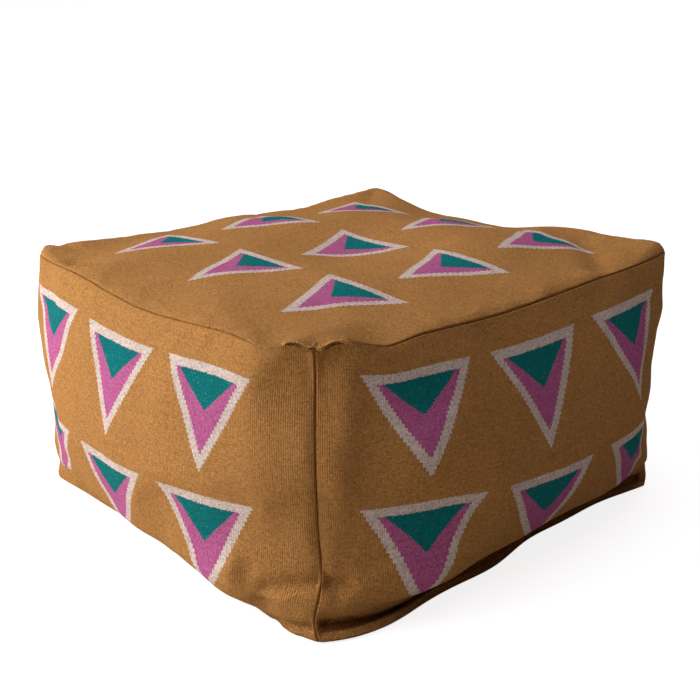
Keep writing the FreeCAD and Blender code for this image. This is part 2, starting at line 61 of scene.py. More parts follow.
# The stuffed form
HALF_SPAN = 288.0
CORNER_Z, EDGE_Z, CROWN_Z, FOOT_Z = 328.0, 316.0, 350.0, 1.0
BELLY_Z = 140.0
BELLY_OUT, TOP_OUT, TOP_POWER = 72.0, 20.0, 1.55
LIP_IN, LIP_DROP = 15.0, 100.0  # below the belly the side comes in to a lip,
TUCK, TUCK_Z, TUCK_RISE = 38.0, 47.0, 15.0  # and the foot is tucked under it
END_POWER, DROOP_POWER, CROWN_POWER = 0.64, 0.6, 0.8
ROLLS = {"front": 1.0, "right": 9.0, "back": 9.0, "left": 0.0}  # the top puffs up just inside its seams,
ROLL_REACH, ROLL_BLEND = 20.0, 20.0
EAR, EAR_REACH, FRONT_EAR = 9.0, 70.0, 0.1  # more at the corners, but little at the front one

# Where this pouf sags or stands up beside the even form: centre, reach, move
SAGS = {
    "front toe": ((-296, -280, 0), (60, 60, 40), (-13, -4, 0)),
    "toe rounded off": ((-302, -292, 0), (34, 34, 40), (9, 7, 0)),
    "toe runs on along the front": ((-225, -300, 0), (75, 200, 30), (0, -25, 0)),
    "and fades": ((-110, -300, 0), (80, 200, 30), (0, -10, 0)),
    "front foot drawn in": ((60, -300, 0), (60, 200, 30), (0, 8, 0)),
    "but not in the middle": ((-35, -300, 0), (60, 200, 30), (0, -9, 0)),
    "more to the right": ((185, -300, 0), (90, 200, 30), (0, 16, 0)),
    "front lip hangs by the toe": ((-185, -335, 45), (85, 200, 40), (0, -8, -14)),
    "front lip, right part": ((60, -335, 48), (110, 200, 26), (0, 4, 9)),
    "left lip, front part": ((-335, -210, 45), (200, 85, 45), (-15, 0, -19)),
    "left lip, middle": ((-335, 90, 45), (200, 80, 45), (3, 0, 3)),
    "left lip, back part": ((-325, 230, 35), (200, 80, 45), (3, 0, 6)),
    "left foot": ((-295, 290, 10), 120, (-8, -2, 0)),
    "right foot": ((290, -295, 10), 90, (-2, 0, 0)),
    "front seam swings right": ((-291, -291, 75), 34, (4, -3, 0)),
    "and back": ((-292, -292, 28), 26, (-3, 2, 0)),
    "front ear": ((-288, -288, 328), 70, (-3, -2, 8)),
    "notch in the front ear": ((-290, -290, 336), 20, (0, 0, -17)),
    "dip in the front edge": ((-206, -300, 328), (32, 45, 22), (0, 0, -7)),
    "dip in the left edge": ((-300, -230, 328), (45, 28, 22), (0, 0, -6)),
    "front panel beside the corner": ((-245, -330, 200), (42, 60, 90), (0, 8, 0)),
    "left panel beside the corner": ((-330, -228, 268), (60, 36, 75), (-8, 0, -4)),
    "front panel below the edge": ((-225, -320, 285), (40, 60, 50), (8, 0, -4)),
    "front seam drawn in": ((-290, -290, 300), (52, 52, 60), (18, 18, 0)),
    "left ear": ((-288, 288, 328), 60, (1, 1, -1)),
    "right ear": ((288, -288, 328), 55, (3, -2, 4)),
    "back ear": ((288, 288, 328), 70, (14, -6, -2)),
    "right edge sags": ((295, -20, 325), (60, 75, 60), (0, 0, -7)),
    "right edge hangs": ((300, 0, 318), (60, 330, 60), (0, 0, -8)),
    "back edge hangs": ((0, 300, 318), (330, 60, 60), (0, 0, -8)),
    "front edge, left part": ((-150, -305, 318), 110, (10, 5, 2)),
    "front edge, right part": ((150, -305, 318), 110, (15, 13, 5)),
    "left edge, front part": ((-305, -150, 318), 110, (0, 0, 7)),
    "left edge, back part": ((-305, 150, 318), 110, (-4, 0, 13)),
    "front edge, middle": ((20, -300, 318), (90, 60, 60), (4, 5, 3)),
    "right edge rises": ((300, -150, 318), 110, (0, 0, 8)),
    "right edge dips": ((300, 120, 318), 110, (0, 0, -12)),
    "back edge, left part": ((-150, 300, 318), 110, (0, 0, -1)),
    "back edge dips": ((150, 300, 318), 110, (0, 0, -7)),
    "top stands up at the right": ((115, -150, 340), (90, 60, 80), (0, 0, 7)),
    "seat hollow": ((0, 0, 340), 120, (0, 0, -22)),
    "front belly, left part": ((-150, -350, 170), 110, (2, -12, 13)),
    "front belly, right part": ((150, -350, 170), 110, (11, -2, -3)),
    "left belly, front part": ((-350, -150, 170), 110, (-3, -4, 5)),
    "left belly, back part": ((-350, 150, 170), 110, (2, -3, -5)),
    "right corner drawn in": ((290, -290, 130), 90, (-3, 17, 0)),
    "cloth pulled up at the right corner": ((290, -290, 160), (90, 90, 60), (0, 0, 8)),
    "left corner, lower part": ((-290, 290, 130), 90, (6, -4, 0)),
    "left corner pushed out": ((-290, 290, 240), 80, (1, 16, 0)),
}


def bulge(z):
    """How far the middle of a side stands out at height z."""
    low = np.clip(BELLY_Z - z, 0, None) / LIP_DROP
    high = np.clip((z - BELLY_Z) / (CORNER_Z - BELLY_Z), 0, 1)
    tuck = TUCK * smooth((TUCK_Z - z) / TUCK_RISE)
    return BELLY_OUT - LIP_IN * low ** 2 - tuck - (BELLY_OUT - TOP_OUT) * high ** TOP_POWER


def unit(vectors):
    """The vectors, each with length one."""
    return vectors / np.linalg.norm(vectors, axis=-1, keepdims=True)


def lengths_along(*coordinates):
    """Distance along a line from its first point."""
    steps = np.sqrt(sum(np.diff(c) ** 2 for c in coordinates))
    return np.concatenate([[0], np.cumsum(steps)])


def side_form():
    """Grid of (along, outward, up) for one side, at equal cloth distances."""
    share = np.linspace(0, 1, 801)
    arch = 4 * share * (1 - share)
    up = np.linspace(0, 1, CELLS_UP + 1)
    heights = np.linspace(FOOT_Z, EDGE_Z, 801)
    climb = lengths_along(heights, bulge(heights))
    middle = np.interp(up * climb[-1], climb, heights)
    rows = []
    for z_middle, part in zip(middle, up):
        z_corner = FOOT_Z + part * (CORNER_Z - FOOT_Z)
        x = (share - 0.5) * 2 * HALF_SPAN
        out = bulge(z_middle) * arch ** END_POWER
        z = z_corner + (z_middle - z_corner) * arch ** DROOP_POWER
        run = lengths_along(x, out, z)
        at = np.linspace(0, run[-1], CELLS_ACROSS + 1)
        rows.append(np.stack([np.interp(at, run, c) for c in (x, out, z)], -1))
    return np.stack(rows, 1)


def turned(grid, side):
    """A side's grid in the shared frame."""
    along, out, up = np.moveaxis(grid, -1, 0)
    out = HALF_SPAN + out
    x, y = {"front": (along, -out), "right": (out, along), "back": (-along, out), "left": (-out, -along)}[side]
    return np.stack([x, y, up], -1)


def patch_between(front, back, left, right):
    """Grid that joins four edges which share their ends."""
    i = np.linspace(0, 1, len(front))[:, None, None]
    j = np.linspace(0, 1, len(left))[None, :, None]
    across = (1 - j) * front[:, None] + j * back[:, None]
    along = (1 - i) * left[None] + i * right[None]
    ends = ((1 - j) * ((1 - i) * front[0] + i * front[-1]) + j * ((1 - i) * back[0] + i * back[-1]))
    return across + along - ends


def edge_patch(grids, row):
    """Patch inside the four sides' edges at that row of their grids."""
    front, right, back, left = (grids[side][:, row] for side in SIDES)
    return patch_between(front, back[::-1], left[::-1], right)


def sagged(grid):
    """The grid with every sag added, each fading out from its centre."""
    moved = grid.copy()
    for centre, reach, move in SAGS.values():
        away = (((grid - np.array(centre)) / np.array(reach)) ** 2).sum(-1)
        moved += np.exp(-away)[..., None] * np.array(move)
    return moved


def top_roll():
    """How far the top stands up beside its four seams."""
    run = np.linspace(0, CUT_SPAN, CELLS_ACROSS + 1)
    away = {"left": run[:, None], "right": run[::-1, None], "front": run[None], "back": run[None, ::-1]}
    near = {side: np.exp(-d / ROLL_BLEND) for side, d in away.items()}
    height = sum(near[side] * ROLLS[side] for side in SIDES) / sum(near.values())
    to_end = np.minimum(run, run[::-1])
    inside = np.minimum(to_end[:, None], to_end[None]) / ROLL_REACH
    ear = np.exp(-(to_end[:, None] ** 2 + to_end[None] ** 2) / EAR_REACH ** 2)
    ear *= np.where((away["left"] < MIDDLE) & (away["front"] < MIDDLE), FRONT_EAR, 1.0)
    return (height + EAR * ear) * inside * np.exp(1 - inside)


def cover_form():
    """Grids of the four sides, the top and the base, sewn to each other at their edges."""
    grid = side_form()
    grids = {side: turned(grid, side) for side in SIDES}
    top = edge_patch(grids, -1)
    square = 1 - np.linspace(-1, 1, CELLS_ACROSS + 1) ** 2
    middle = top[CELLS_ACROSS // 2, CELLS_ACROSS // 2, 2]
    top[..., 2] += (CROWN_Z - middle) * (square[:, None] * square[None]) ** CROWN_POWER
    top[..., 2] += top_roll()
    grids["top"] = top
    grids = {name: sagged(grid) for name, grid in grids.items()}
    for grid in grids.values():
        grid[..., 2] = np.maximum(grid[..., 2], FOOT_Z)
    grids["base"] = edge_patch(grids, 0)
    return grids


def sewn_numbers():
    """For each panel a grid of point numbers, shared along the seams, and each point's place on the cut box."""
    numbers, places = {}, []

    def number(place):
        if place not in numbers:
            numbers[place] = len(places)
            places.append(place)
        return numbers[place]

    n, m = CELLS_ACROSS, CELLS_UP
    box_places = {
        "front": lambda i, j: (i, 0, j), "right": lambda i, j: (n, i, j),
        "back": lambda i, j: (n - i, n, j), "left": lambda i, j: (0, n - i, j),
        "top": lambda i, j: (i, j, m), "base": lambda i, j: (i, j, 0),
    }
    grids = {}
    for name, place in box_places.items():
        rows = m if name in SIDES else n
        grids[name] = np.array([[number(place(i, j)) for j in range(rows + 1)] for i in range(n + 1)])
    return grids, np.array(places, float)


def grid_normals(grid, flip=False):
    """Unit normals of a grid of points."""
    normal = unit(np.cross(np.gradient(grid, axis=0), np.gradient(grid, axis=1)))
    return -normal if flip else normal


def grid_cells(index, flip=False):
    """Faces of a grid of point numbers."""
    cells = np.stack([index[:-1, :-1], index[1:, :-1], index[1:, 1:], index[:-1, 1:]], -1).reshape(-1, 4)
    return cells[:, ::-1] if flip else cells


def sewn(grids, numbers, count):
    """Points and faces of the panels' grids, as one closed mesh."""
    points, faces = np.zeros((count, 3)), []
    for name, grid in grids.items():
        points[numbers[name]] = grid
        faces.append(grid_cells(numbers[name], name == "base"))
    return points, np.concatenate(faces)


def seam_normals(grids, numbers, count):
    """At each grid point the normal of the sewn cover: at a seam it halves the angle between the panels."""
    total = np.zeros((count, 3))
    for name, grid in grids.items():
        np.add.at(total, numbers[name], grid_normals(grid, name == "base"))
    return {name: unit(total)[numbers[name]] for name in grids}


def spline_rows(nodes, at):
    """Weights that carry equally spaced nodes to places at, in node steps, on a smooth curve through them."""
    at = np.clip(at, 0, nodes - 1)
    first = np.clip(np.floor(at).astype(int), 0, nodes - 2)
    f = at - first
    rows = np.arange(len(at))
    weights = np.zeros((len(at), nodes + 2))
    for offset, part in enumerate((
        -0.5 * f + f ** 2 - 0.5 * f ** 3, 1 - 2.5 * f ** 2 + 1.5 * f ** 3,
        0.5 * f + 2 * f ** 2 - 1.5 * f ** 3, -0.5 * f ** 2 + 0.5 * f ** 3,
    )):
        weights[rows, first + offset] += part
    inner = weights[:, 1:-1]
    for ghost, end, beside in ((weights[:, 0], 0, 1), (weights[:, -1], -1, -2)):
        inner[:, end] += 2 * ghost
        inner[:, beside] -= ghost
    return inner


def carried(grid, rows_i, rows_j):
    """A grid of vectors at the finer places given by two sets of spline rows."""
    return np.einsum("ai,ijk,bj->abk", rows_i, grid, rows_j)


SPREAD = 1.6  # brings a sum of sines mostly within one either way


def sines(count, shortest, longest, seed):
    """A smooth uneven function of place, from waves of random direction and length."""
    draw = np.random.default_rng(seed)
    ways = unit(draw.normal(size=(count, 3)))
    ways *= 2 * math.pi / np.exp(draw.uniform(math.log(shortest), math.log(longest), (count, 1)))
    shifts = draw.uniform(0, 2 * math.pi, count)

    def at(*place):
        place = np.stack(np.broadcast_arrays(*place), -1)
        return np.sin(place @ ways.T + shifts).sum(-1) * math.sqrt(2 / count) / SPREAD

    return at


def smooth(share):
    """A soft step from 0 to 1."""
    share = np.clip(share, 0, 1)
    return share * share * (3 - 2 * share)


# Creases on single panels, or ridges where the depth is negative: places on the cloth, depth, width, and "up" for
# one that moves up or down instead of in or out
FOLDS = {
    "left": (
        (((598, 80), (570, 84), (538, 85)), 9.5, 8),  # across the front corner, above the toe
        (((514, 92), (528, 77), (538, 60)), 10, 13),
        (((536, 24), (566, 25), (594, 28)), 8, 6),  # where the toe comes out
        (((588, 340), (591, 300)), 2, 7),  # either side of the seam below the front ear
        (((562, 343), (588, 343)), -4, 9, "up"),  # shoulder of the ear
        (((548, 7), (566, 7)), -7, 9),  # toe
        (((60, 338), (90, 300)), 3, 14),
    ),
    "front": (
        (((2, 80), (28, 84)), 9.5, 7.5),
        (((6, 77), (22, 65)), 4, 6),
        (((12, 28), (40, 25), (90, 19), (140, 15), (588, 14)), 20, 10),  # under the lip
        (((12, 340), (9, 300)), 2, 7),
        (((36, 318), (27, 180)), -5, 16),
        (((12, 343), (52, 343)), -4, 9, "up"),
        (((503, 340), (514, 292)), 2.5, 8),
        (((534, 340), (540, 300)), 2.5, 8),
    ),
    "top": (
        (((36, 583), (46, 575)), 5, 9),  # dimple of the left ear
        (((24, 500), (34, 488)), 5, 15),
        (((545, 118), (505, 62), (468, 26)), 6, 18),  # valley at the right
    ),
}


def to_line(s, t, line):
    """Distance of places on the cloth from a broken line."""
    nearest = np.full(s.shape, np.inf)
    for (s0, t0), (s1, t1) in zip(line[:-1], line[1:]):
        run = (s1 - s0) ** 2 + (t1 - t0) ** 2
        along = np.clip(((s - s0) * (s1 - s0) + (t - t0) * (t1 - t0)) / run, 0, 1)
        nearest = np.minimum(nearest, np.hypot(s - s0 - along * (s1 - s0), t - t0 - along * (t1 - t0)))
    return nearest


# ---- Cloth simulation: the sewn cover settles on its fill ----

SETTLE_FRAMES, SETTLE_CAP, SETTLE_SHARE = 24, 2.5, 0.5
SPARE, TAKEN_UP = 0.008, 0.008  # spare cloth in the panels, and cloth taken up by the seams
PRESSURE, WEIGHT = 0.25, 0.2  # of the fill, and of the cloth against its real weight
CALM = 60  # rounds of averaging that leave out the long waves


def settled(grids, numbers, places):
    """The grids with the folds of a cloth simulation. The form is fitted, so only their short waves are kept."""
    points, faces = sewn(grids, numbers, len(places))
    mesh = bpy.data.meshes.new("settling")
    mesh.from_pydata((points / 1000).tolist(), [], faces.tolist())
    cover = bpy.data.objects.new("settling", mesh)
    bpy.context.scene.collection.objects.link(cover)

    across, up = places[:, :2], places[:, 2]
    on_base = up == 0
    on_seam = ((across == 0) | (across == CELLS_ACROSS)).sum(1) + on_base + (up == CELLS_UP) > 1
    for name, chosen in (("held", on_base), ("seam", on_seam)):
        cover.vertex_groups.new(name=name).add(np.flatnonzero(chosen).tolist(), 1.0, "REPLACE")
    cloth = cover.modifiers.new("cloth", "CLOTH")
    make = cloth.settings
    make.quality, make.mass, make.air_damping = 8, 0.3, 3
    make.tension_stiffness = make.compression_stiffness = 60
    make.shear_stiffness, make.bending_stiffness = 20, 10
    make.tension_damping = make.compression_damping = make.shear_damping = 15
    make.bending_damping = 1
    make.vertex_group_mass, make.pin_stiffness = "held", 1
    make.vertex_group_shrink = "seam"
    make.shrink_min, make.shrink_max = -SPARE, TAKEN_UP
    make.vertex_group_bending, make.bending_stiffness_max = "seam", 60
    make.use_pressure, make.uniform_pressure_force = True, PRESSURE
    make.effector_weights.gravity = WEIGHT
    cloth.collision_settings.use_collision = False
    cloth.point_cache.frame_start, cloth.point_cache.frame_end = 1, SETTLE_FRAMES
    for number in range(1, SETTLE_FRAMES + 1):
        bpy.context.scene.frame_set(number)
    result = cover.evaluated_get(bpy.context.evaluated_depsgraph_get()).data
    moved = np.empty(len(points) * 3, np.float32)
    result.vertices.foreach_get("co", moved)
    moved = moved.reshape(-1, 3).astype(float) * 1000 - points
    bpy.context.scene.frame_set(1)
    bpy.data.objects.remove(cover)

    links = np.unique(np.sort(np.concatenate([faces[:, [k, (k + 1) % 4]] for k in range(4)]), axis=1), axis=0)
    count = np.bincount(links.ravel(), minlength=len(points))[:, None]
    calm = moved.copy()
    for _ in range(CALM):
        total = np.zeros_like(calm)
        np.add.at(total, links[:, 0], calm[links[:, 1]])
        np.add.at(total, links[:, 1], calm[links[:, 0]])
        calm = 0.5 * calm + 0.5 * total / count
    out = np.zeros_like(points)
    for name, normal in seam_normals(grids, numbers, len(points)).items():
        out[numbers[name]] = normal
    folds = ((moved - calm) * out).sum(-1)
    folds = np.where(on_base, 0, SETTLE_CAP * np.tanh(SETTLE_SHARE * folds / SETTLE_CAP))
    return {name: grid + (out * folds[:, None])[numbers[name]] for name, grid in grids.items()}


# ---- Panels of cloth, from the form ----

NEAR_SEAM = [0, 0.4, 0.9, 1.5, 2.2, 3, 4.5, 7]  # finer places beside a seam
TURNED_IN = [-ALLOWANCE, -6, -3, -1]
SEAM_DIP, SEAM_REACH = 3.5, 2.8  # how deep the stitching draws the cloth in, and from how far
BASE_DIP = 1.2  # the same at the base seam, which the weight spreads
SEAM_GAP, GAP_REACH = 0.15, 2.0  # from each allowance to the middle of its seam, and over how far it closes
PRESSED, PRESSED_FADE, PRESSED_SHARE = 105.0, 45.0, 0.85  # round the front corner the top seam is pressed flat
SEAM_LOWEST, SIDE_LOWEST, LOWEST_RISE = 1.2, 4.0, 0.5  # folded under, the sides stay above the base cloth's face


def places(length, first="seam", last="seam"):
    """Distances along a panel from one end to the other, with the allowances before and after."""
    count = round((length - 2 * NEAR_SEAM[-1]) / FINE)
    inner = np.linspace(NEAR_SEAM[-1], length - NEAR_SEAM[-1], count + 1)
    before = (TURNED_IN if first == "seam" else []) + NEAR_SEAM[:-1]
    after = [length - d for d in ((TURNED_IN if last == "seam" else []) + NEAR_SEAM[:-1])[::-1]]
    return np.array(before + list(inner) + after)


def into_panel(grid, normal, axis, end):
    """From the seam at one end of a grid, the way into the panel, square to the seam's normal."""
    step = np.take(grid, 1 if end == 0 else -2, axis) - np.take(grid, end, axis)
    out = np.take(normal, end, axis)
    return unit(step - (step * out).sum(-1, keepdims=True) * out)


class Panel:
    """One panel's outer face on a fine grid: points, normals and cloth distances."""

    def __init__(self, name, grids, normals, s, t, size):
        self.name, self.s, self.t, self.size = name, s, t, size
        grid, normal = grids[name], normals[name]
        across, up = grid.shape[0], grid.shape[1]
        rows_i = spline_rows(across, s / size[0] * (across - 1))
        rows_j = spline_rows(up, t / size[1] * (up - 1))
        self.points = carried(grid, rows_i, rows_j)
        self.normals = unit(carried(normal, rows_i, rows_j))
        self.s_grid, self.t_grid = np.meshgrid(s, t, indexing="ij")
        self.from_ends = [(0, 0, self.s_grid), (0, -1, size[0] - self.s_grid),
                          (1, 0, self.t_grid), (1, -1, size[1] - self.t_grid)]
        self.edges = [(axis, end, depth, self._edge(axis, end, rows_i, rows_j, grid, normal))
                      for axis, end, depth in self.from_ends]
        self.to_seam = np.minimum.reduce([np.maximum(depth, 0) for _, _, depth in self.from_ends])
        self.to_corner = np.hypot(self.points[..., 0] + HALF_SPAN, self.points[..., 1] + HALF_SPAN)

    def _edge(self, axis, end, rows_i, rows_j, grid, normal):
        """Seam normal and way into the panel, for each point the ones at the nearest place on this seam."""
        rows = rows_j if axis == 0 else rows_i
        out = unit(rows @ np.take(normal, end, axis))
        inward = unit(rows @ into_panel(grid, normal, axis, end))
        expand = (lambda a: a[None]) if axis == 0 else (lambda a: a[:, None])
        return expand(out), expand(inward)

    def push(self, amount):
        """Moves points along their normals."""
        self.points = self.points + self.normals * np.asarray(amount)[..., None]

    def sew(self):
        """Draws the cloth in at its seams, turns the allowances inwards and keeps it all above the floor."""
        for axis, end, depth, (out, inward) in self.edges:
            at_base = self.name == "base" or (self.name in SIDES and axis == 1 and end == 0)
            dip = (BASE_DIP if at_base else SEAM_DIP) * np.clip(1 - np.maximum(depth, 0) / SEAM_REACH, 0, 1) ** 2
            if self.name == "top" or (axis == 1 and end == -1):
                dip = dip * (1 - PRESSED_SHARE * smooth((PRESSED - self.to_corner) / PRESSED_FADE))
            turned_in = np.maximum(-depth, 0)
            aside = SEAM_GAP * np.clip(1 - np.maximum(depth, 0) / GAP_REACH, 0, 1)
            self.points = self.points - out * (dip + turned_in)[..., None] + inward * aside[..., None]
        lowest = 0 if self.name == "base" else np.clip(self.t * LOWEST_RISE, SEAM_LOWEST, SIDE_LOWEST)
        self.points[..., 2] = np.maximum(self.points[..., 2], lowest)

    def cells(self):
        """Faces of the grid, without the corners where two allowances would meet."""
        n, m = len(self.s), len(self.t)
        i, j = np.meshgrid(np.arange(n - 1), np.arange(m - 1), indexing="ij")
        s, t = (self.s[:-1] + self.s[1:]) / 2, (self.t[:-1] + self.t[1:]) / 2
        out_s, out_t = (s < 0) | (s > self.size[0]), (t < 0) | (t > self.size[1])
        keep = ~(out_s[:, None] & out_t[None])
        i, j = i[keep], j[keep]
        return np.stack([i * m + j, (i + 1) * m + j, (i + 1) * m + j + 1, i * m + j + 1], -1)


def mesh_object(name, points, faces, uv=None):
    """A smooth mesh, from points and cloth distances in millimetres."""
    points = points.reshape(-1, 3)
    used = np.unique(np.concatenate([np.asarray(f).ravel() for f in faces]) if isinstance(faces, list) else faces)
    renumber = np.full(len(points), -1)
    renumber[used] = np.arange(len(used))
    faces = [renumber[np.asarray(f)].tolist() for f in faces]
    mesh = bpy.data.meshes.new(name)
    mesh.from_pydata((points[used] / 1000).tolist(), [], faces)
    if uv is not None:
        layer = mesh.uv_layers.new(name="cloth")
        corner = np.empty(len(mesh.loops), np.int32)
        mesh.loops.foreach_get("vertex_index", corner)
        layer.uv.foreach_set("vector", (uv.reshape(-1, 2)[used][corner] / 1000).astype(np.float32).ravel())
    mesh.polygons.foreach_set("use_smooth", np.ones(len(mesh.polygons), bool))
    obj = bpy.data.objects.new(name, mesh)
    bpy.context.scene.collection.objects.link(obj)
    return obj


def thicken(obj, thickness):
    """Gives a sheet its thickness, inwards."""
    solid = obj.modifiers.new("thickness", "SOLIDIFY")
    solid.thickness, solid.offset = thickness / 1000, -1
    solid.use_quality_normals = True


# ---- Materials ----

class Nodes:
    """A node tree and the few kinds of node that it is made of."""

    def __init__(self, tree):
        self.tree = tree

    def put(self, socket, value):
        if isinstance(value, bpy.types.NodeSocket):
            self.tree.links.new(value, socket)
        elif isinstance(value, (tuple, list)) and len(value) == 3 and socket.type == "RGBA":
            socket.default_value = (*value, 1)
        else:
            socket.default_value = value

    def node(self, kind, settings=(), **inputs):
        node = self.tree.nodes.new("ShaderNode" + kind)
        for key, value in dict(settings).items():
            setattr(node, key, value)
        for key, value in inputs.items():
            self.put(node.inputs[key.replace("_", " ")], value)
        return node

    def math(self, operation, *values):
        node = self.node("Math", {"operation": operation})
        for socket, value in zip(node.inputs, values):
            self.put(socket, value)
        return node.outputs[0]

    def mix(self, share, first, second, blend="MIX"):
        node = self.node("Mix", {"data_type": "RGBA", "blend_type": blend})
        for index, value in ((0, share), (6, first), (7, second)):
            self.put(node.inputs[index], value)
        return node.outputs[2]

    def ramp(self, value, low, high):
        """0 at low, 1 at high, straight between."""
        node = self.node("MapRange", {"clamp": True})
        for index, number in ((0, value), (1, low), (2, high), (3, 0.0), (4, 1.0)):
            self.put(node.inputs[index], number)
        return node.outputs[0]

    def join(self, x, y, z=0.0):
        return self.node("CombineXYZ", X=x, Y=y, Z=z).outputs[0]

    def show(self, lighting, seen, output):
        """Lights the object with one shader, and shows the other to the camera, in a mirror and through glass."""
        path = self.node("LightPath").outputs
        direct = self.math("MAXIMUM", path["Is Camera Ray"], path["Is Glossy Ray"])
        direct = self.math("MAXIMUM", direct, path["Is Transmission Ray"])
        choose = self.node("MixShader")
        for index, value in enumerate((direct, lighting.outputs[0], seen.outputs[0])):
            self.put(choose.inputs[index], value)
        self.put(self.node(output).inputs["Surface"], choose.outputs[0])


class Shader(Nodes):
    """A material for a piece."""

    def __init__(self, name):
        self.material = bpy.data.materials.new(name)
        self.material.use_nodes = True
        super().__init__(self.material.node_tree)
        self.surface = self.tree.nodes["Principled BSDF"]

    def noise(self, vector, scale, detail=2.0, roughness=0.5):
        return self.node("TexNoise", Vector=vector, Scale=scale, Detail=detail, Roughness=roughness).outputs["Fac"]

    def split_uv(self):
        """Cloth distances in millimetres."""
        parts = self.node("SeparateXYZ", Vector=self.node("UVMap", {"uv_map": "cloth"}).outputs[0])
        return [self.math("MULTIPLY", parts.outputs[k], 1000) for k in (0, 1)]

    def cloth_noise(self, x, y, across, along, *kind):
        """Noise on the cloth, with so many steps a millimetre each way."""
        return self.noise(self.join(self.math("MULTIPLY", x, across), self.math("MULTIPLY", y, along)), 1.0, *kind)

    def grain(self, x, y):
        """A random number for each crossing of the yarns."""
        return self.node("TexWhiteNoise", {"noise_dimensions": "2D"}, Vector=self.join(x, y)).outputs[0]

    def place(self, scale=1000):
        """Place on the object, in steps of the given number a metre."""
        node = self.node("VectorMath", {"operation": "SCALE"}, Vector=self.node("TexCoord").outputs["Object"])
        node.inputs["Scale"].default_value = scale
        return node.outputs[0]

    def about(self, value, share):
        """A value from 0 to 1, moved to lie about 0 and scaled."""
        return self.math("MULTIPLY", self.math("SUBTRACT", value, 0.5), share)

    def shaded(self, colour, value):
        """A colour made lighter or darker."""
        grey = self.node("CombineColor", Red=value, Green=value, Blue=value).outputs[0]
        return self.mix(1.0, colour, grey, "MULTIPLY")

    def finish(self, colour, height, distance, strength=0.6, **sockets):
        self.put(self.surface.inputs["Base Color"], colour)
        for key, value in sockets.items():
            self.put(self.surface.inputs[key.replace("_", " ")], value)
        bump = self.node("Bump", Height=height, Distance=distance, Strength=strength)
        self.put(self.surface.inputs["Normal"], bump.outputs[0])
        return self.material


def times(colour, factor):
    return tuple(factor * c for c in colour)


OCHRE, CREAM = (0.51, 0.243, 0.073), (0.75, 0.615, 0.55)
MAGENTA, TEAL = (0.55, 0.135, 0.325), (0.004, 0.19, 0.195)
FLECK, DULL = (0.62, 0.55, 0.46), (0.10, 0.06, 0.035)  # stray pale and dark beads of weft
RIB, PASS = 2.45, 1.3  # warp ribs, and the weft's beads along a rib
EDGE_STEP, EDGE_SOFT = 3.0, 0.5  # steps of the triangles' slanted edges, and how sharp edges are
ROW_LEAD = 12.0  # a row of triangles begins this far before their bases
SLIP, SLIP_ALONG, SLIP_SCALE = 2.2, 0.02, 7.3  # how unevenly the ribs' weft was beaten
CREAM_BASE = 10.5  # cream border along a triangle's base
TEAL_WIDE, TEAL_DEEP = 0.88, 0.467  # teal triangle, as shares of the magenta one
# middle of the bead relief: the tone paints the gaps between ribs and beads darker than this and the crowns lighter,
# as painted shade
BEAD_SHADE_MEAN = 0.41


